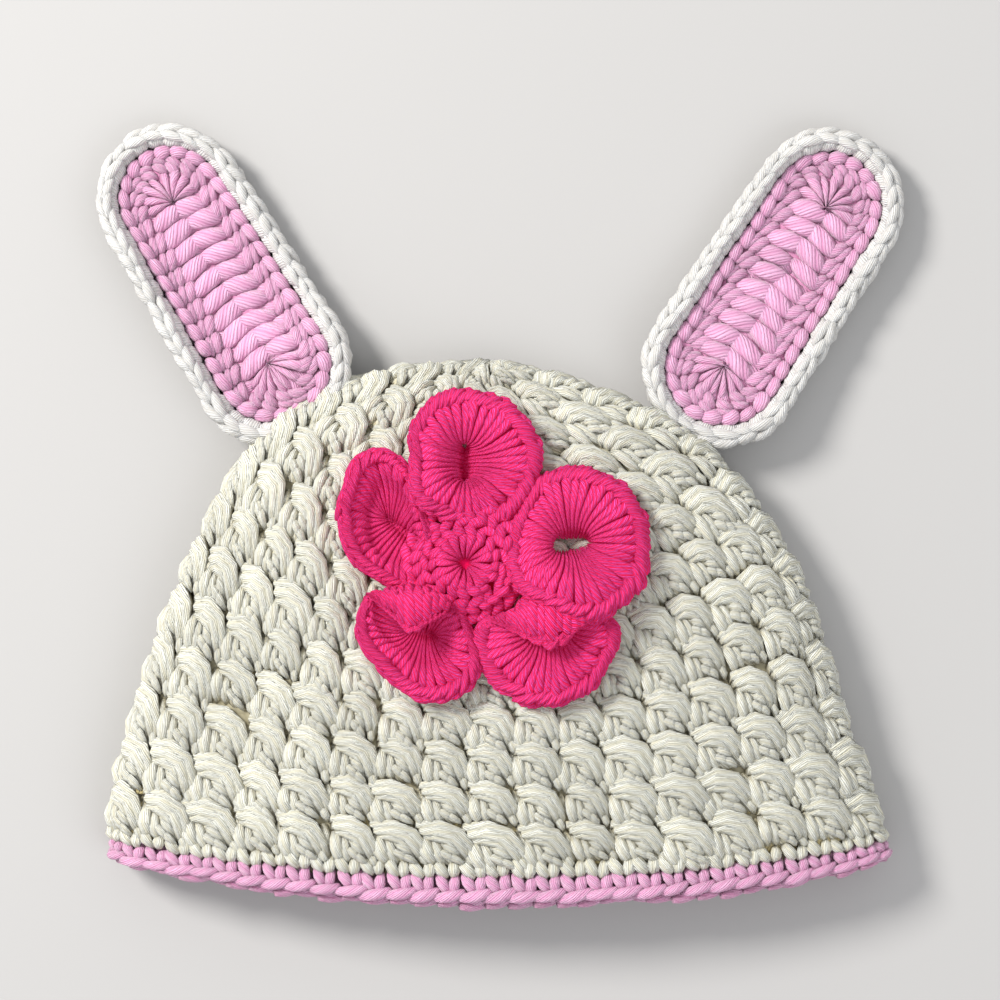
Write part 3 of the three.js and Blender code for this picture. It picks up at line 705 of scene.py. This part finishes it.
# Each petal is given in ten directions round its slit, a tenth of a turn apart from the right: how far out
# its fold and its edge lie, how high they stand above the hat, and how far down the edge folds over the slit.
Petal = namedtuple("Petal", "name x y slit_turn slit_half slit_wide fold fold_height edge edge_height drop")
PETALS = [
    Petal("petal_left", -25.0, 96.4, -40, 4.5, 0.3,
          (4, 4.5, 7, 12, 10, 8, 8, 8, 9, 6), (3.5, 4, 3, 1.5, 1.2, 1.2, 1.2, 1.2, 1.5, 2.5),
          (7, 7, 12, 20, 16, 13.5, 12.5, 12.5, 15.5, 9.5), (5, 5, 5.5, 6.5, 7, 7, 6.5, 5, 3, 3), (0,) * 10),
    Petal("petal_lower_left", -19.2, 70.3, -10, 3.0, 0.3,
          (6, 7, 11, 12.5, 14.5, 9, 6, 6, 7, 7), (2.5, 5, 7, 7.5, 7, 2.5, 1.2, 1.2, 1.2, 1.5),
          (12, 10.5, 10, 12, 16, 15, 12.5, 13.5, 16, 16), (3, 5, 8, 9.5, 8, 6.5, 6, 5, 4, 3),
          (0, 0, 5, 9, 1, 0, 0, 0, 0, 0)),
    Petal("petal_lower_right", 12.2, 71.3, 0, 5.0, 0.3,
          (8, 10, 9, 9, 10, 8, 7.5, 7.5, 7.5, 8), (3.5, 6, 7, 7, 6, 4, 4, 4, 4, 4),
          (16.5, 13, 9.5, 9.5, 12, 17.5, 18.5, 18, 17.5, 16.5), (4, 6.5, 8, 8, 6.5, 4, 2.5, 2.5, 3, 3.5),
          (0, 5, 11, 11, 6, 0, 0, 0, 0, 0)),
    Petal("petal_right", 17.6, 92.9, 5, 4.3, 1.9,
          (8, 8, 8, 7.5, 6, 6, 7, 7, 8, 8), (5, 5, 5, 4.5, 4, 4, 6, 8.5, 8, 6),
          (18.8, 18.6, 18.5, 17.7, 14.7, 15.2, 16.4, 15.5, 18.3, 19), (3, 3.5, 3.5, 3, 3, 3, 7, 9.5, 9, 5),
          (0,) * 10),
    Petal("petal_top", -8.8, 112.9, 90, 5.0, 0.3,
          (7, 7, 7, 7, 6.5, 5, 5.5, 6, 6, 6.5), (4, 4, 4.5, 5, 6, 6.5, 6, 4, 3, 3.5),
          (18, 18, 17.5, 17.5, 15.5, 12.5, 14.5, 14, 16.5, 17), (3.5, 4.5, 5.5, 6, 7, 8, 8, 5, 2, 3),
          (0,) * 10),
]
cad_front = bmesh.new()
cad_front.from_mesh(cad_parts["hat_body"].data)
hat_front = BVHTree.FromBMesh(cad_front)
cad_front.free()


def on_front(x, y, height):
    """Points a height above the hat's front, from arrays of plan places, in millimetres."""
    tops = []
    for a, b in zip(x, y):
        place = hat_front.ray_cast(Vector((a * MM, b * MM, 1.0)), Vector((0, 0, -1)))[0]
        tops.append(place.z / MM if place else FOLD_Z)
    return np.column_stack([x, y, np.array(tops) + height])


PETAL_RUN = 14.0
PETAL_LINES, PETAL_POINTS = 17, 160
TURN_POINTS = 721
PETAL_SEAT = 2.6
SLIT_HEIGHT = 1.8


def petal_surface(petal):
    """A petal's face from its slit, over its fold, to its edge, with even places round it."""
    count = len(petal.edge)
    turns = np.linspace(0, 2 * math.pi, TURN_POINTS)[:-1]

    def smooth(values):
        table = np.array([values[(k - 2) % count] for k in range(count + 5)], float)[:, None]
        return spline(table, turns / (2 * math.pi) * count + 2)[:, 0]

    lean = math.radians(petal.slit_turn)
    slit_across = petal.slit_half * np.cos(turns - lean)
    slit_up = petal.slit_wide * np.sin(turns - lean)
    slit = np.column_stack([slit_across * math.cos(lean) - slit_up * math.sin(lean),
                            slit_across * math.sin(lean) + slit_up * math.cos(lean),
                            np.full(len(turns), SLIT_HEIGHT)])
    fold, edge = (np.column_stack([reach * np.cos(turns), reach * np.sin(turns), height])
                  for reach, height in ((smooth(petal.fold), smooth(petal.fold_height)),
                                        (smooth(petal.edge), smooth(petal.edge_height))))
    edge[:, 1] -= smooth(petal.drop)
    step = sum(np.linalg.norm(np.roll(ring, -1, 0) - ring, axis=1) for ring in (fold, edge))
    run = np.concatenate([[0], np.cumsum(step)[:-1]]) / step.sum()
    even = np.linspace(0, 1, PETAL_POINTS, endpoint=False)
    rings = np.stack([[np.interp(even, run, ring[:, k], period=1.0) for k in range(3)]
                      for ring in (slit, fold, edge)]).transpose(0, 2, 1)
    shares = spline(np.eye(3), np.linspace(0, 2, PETAL_LINES))
    grid = np.einsum("kp,pnc->knc", shares, rings)
    x, y = petal.x + SHIFT[0], petal.y + SHIFT[1]
    seated = [on_front(x + line[:, 0], y + line[:, 1], line[:, 2] + PETAL_SEAT) for line in grid]
    return Surface(seated, PETAL_RUN, -1.0), step.sum() / 2


def even_spots(count, wide):
    """Places for count stitches round a petal or a ring, each wide millimetres across."""
    return [((k + 0.5) / count, 0.0, 1 / count / wide, 1.0) for k in range(count)]


RIB_PITCH, LINK_PITCH = 2.3, 1.55
RIB_WIDE = 2.3
RIB_CROWDING, LINK_CROWDING = 1.1, 1.2  # more stitches than would just fit, so that they press together
RIB_LOOSE, LINK_LOOSE = 0.7, 0.3
rib = strand([(0.0, 0.4, -1.2), (0.1, 3.2, 0.0), (0.1, 7.0, 0.1), (-0.2, 10.4, 0.8), (0.0, 13.2, -0.8)],
             [(1.0, 0.6), (1.15, 0.85), (1.15, 0.9), (1.4, 1.2), (1.1, 0.8)], sides=7, steps=8)
rib_under = strand([(0.0, -1.5, -1.8), (0.0, 6.0, -1.0), (0.0, 13.8, -1.3)],
                   [(1.2, 0.8), (1.6, 1.0), (1.9, 0.9)], sides=6, steps=5)
edge_link = joined(
    strand([(-2.1, 14.3, -0.7), (-0.7, 13.7, 0.5), (0.8, 12.9, 0.7), (2.1, 12.2, -0.6)],
           [(0.5, 0.5), (0.68, 0.75), (0.68, 0.75), (0.5, 0.5)], sides=6, steps=6),
    strand([(-2.1, 13.5, -1.6), (0.0, 14.4, -0.8), (2.1, 14.1, -1.8)],
           [(0.5, 0.5), (0.75, 0.85), (0.5, 0.5)], sides=6, steps=5))
for petal in PETALS:
    face, edge_run = petal_surface(petal)
    ribs = round(edge_run / RIB_PITCH * RIB_CROWDING)
    links = round(edge_run / LINK_PITCH * LINK_CROWDING)
    laid = [lay(joined(rib, rib_under), face, even_spots(ribs, RIB_WIDE), loose=RIB_LOOSE),
            lay(edge_link, face, even_spots(links, LINK_PITCH), loose=LINK_LOOSE)]
    yarn_piece(petal.name + "_ribs", laid, hot_pink_yarn, petal.name, deep=-9.0)

# The centre: a small raised ring of ribs, drawn in tight, with the knobbly feet of the petals round it.
FLOWER_X, FLOWER_Y = -8.8, 88.0
RING_SECTION = [(0.4, 3.4), (2.4, 5.6), (4.2, 6.6), (6.2, 5.8), (7.4, 3.6)]
FOOT_SECTION = [(6.0, 4.4), (7.8, 5.2), (9.6, 4.8), (11.4, 3.8)]
OUTER_FOOT_SECTION = [(9.6, 4.4), (11.6, 4.4), (13.6, 3.4), (15.6, 1.6)]
RING_RIBS, FEET, OUTER_FEET = 17, 17, 24
FOOT_WIDE = 3.0
CENTRE_POINTS = 80
CENTRE_SEAT = 1.2


def round_centre(section):
    """The surface that follows a section of (radius, height) points round the flower's middle."""
    angle = np.linspace(0, 2 * math.pi, CENTRE_POINTS, endpoint=False)
    x, y = FLOWER_X + SHIFT[0], FLOWER_Y + SHIFT[1]
    rings = [on_front(x + radius * np.cos(angle), y + radius * np.sin(angle),
                      np.full(len(angle), height + CENTRE_SEAT))
             for radius, height in spline(section, np.linspace(0, len(section) - 1, PETAL_LINES))]
    return Surface(rings, PETAL_RUN, -1.0)


foot = joined(
    strand([(-1.4, 1.0, -0.8), (-0.4, 3.4, 0.7), (0.7, 5.6, 0.8), (1.2, 8.0, -0.8)],
           [(1.0, 0.9), (1.6, 1.4), (1.6, 1.4), (0.9, 0.8)], sides=7, steps=6),
    strand([(1.2, 6.2, -0.8), (0.2, 8.6, 0.6), (-0.8, 11.0, 0.6), (-1.4, 13.6, -0.8)],
           [(1.0, 0.9), (1.6, 1.4), (1.6, 1.4), (0.9, 0.8)], sides=7, steps=6))
laid = [lay(rib, round_centre(RING_SECTION), even_spots(RING_RIBS, RIB_WIDE)),
        lay(foot, round_centre(FOOT_SECTION), even_spots(FEET, FOOT_WIDE)),
        lay(foot, round_centre(OUTER_FOOT_SECTION), even_spots(OUTER_FEET, FOOT_WIDE))]
yarn_piece("flower_ring", laid, hot_pink_yarn, "flower_centre", deep=-1.6)
core("flower_core", "flower_centre", 3.0, hot_pink_fabric)

# ---- Floor, light and camera ----
# A plain pale table under soft studio light from the upper left, seen from straight above.
FLOOR_SIDE = 3.0
bm = bmesh.new()
bmesh.ops.create_grid(bm, x_segments=1, y_segments=1, size=FLOOR_SIDE / 2)
mesh = bpy.data.meshes.new("floor")
bm.to_mesh(mesh)
bm.free()
floor_paint = bpy.data.materials.new("floor_paint")
floor_paint.use_nodes = True
floor_surface = floor_paint.node_tree.nodes["Principled BSDF"]
floor_surface.inputs["Base Color"].default_value = (0.42, 0.41, 0.40, 1)
floor_surface.inputs["Roughness"].default_value = 0.9
mesh.materials.append(floor_paint)
floor = bpy.data.objects.new("floor", mesh)
bpy.context.scene.collection.objects.link(floor)


def area_light(name, place, aim, side, power, colour):
    lamp = bpy.data.lights.new(name, "AREA")
    lamp.shape = "DISK"
    lamp.size = side
    lamp.energy = power
    lamp.color = colour
    holder = bpy.data.objects.new(name, lamp)
    holder.location = place
    holder.rotation_euler = (Vector(aim) - Vector(place)).to_track_quat("-Z", "Y").to_euler()
    bpy.context.scene.collection.objects.link(holder)


area_light("window", (-0.95, 0.62, 0.95), (0, 0, 0), 0.45, 30.0, (1.0, 0.985, 0.96))
area_light("fill", (0.9, -0.7, 1.2), (0, 0, 0), 1.2, 6.5, (0.95, 0.97, 1.0))
world = bpy.data.worlds.new("studio")
world.use_nodes = True
sky = world.node_tree.nodes["Background"]
sky.inputs["Color"].default_value = (0.95, 0.97, 1.0, 1)
sky.inputs["Strength"].default_value = 0.82
bpy.context.scene.world = world
bpy.context.scene.view_settings.view_transform = "Standard"

CAMERA_UP = 0.75
VIEW_WIDTH = 0.26
VIEW_MIDDLE = 0.1037  # up from the rim's lowest point
SENSOR = 36.0
camera_data = bpy.data.cameras.new("camera")
camera_data.sensor_width = SENSOR
camera_data.lens = SENSOR * CAMERA_UP / VIEW_WIDTH
camera = bpy.data.objects.new("camera", camera_data)
camera.location = (SHIFT[0] * MM, VIEW_MIDDLE + SHIFT[1] * MM, CAMERA_UP)
bpy.context.scene.collection.objects.link(camera)
bpy.context.scene.camera = camera
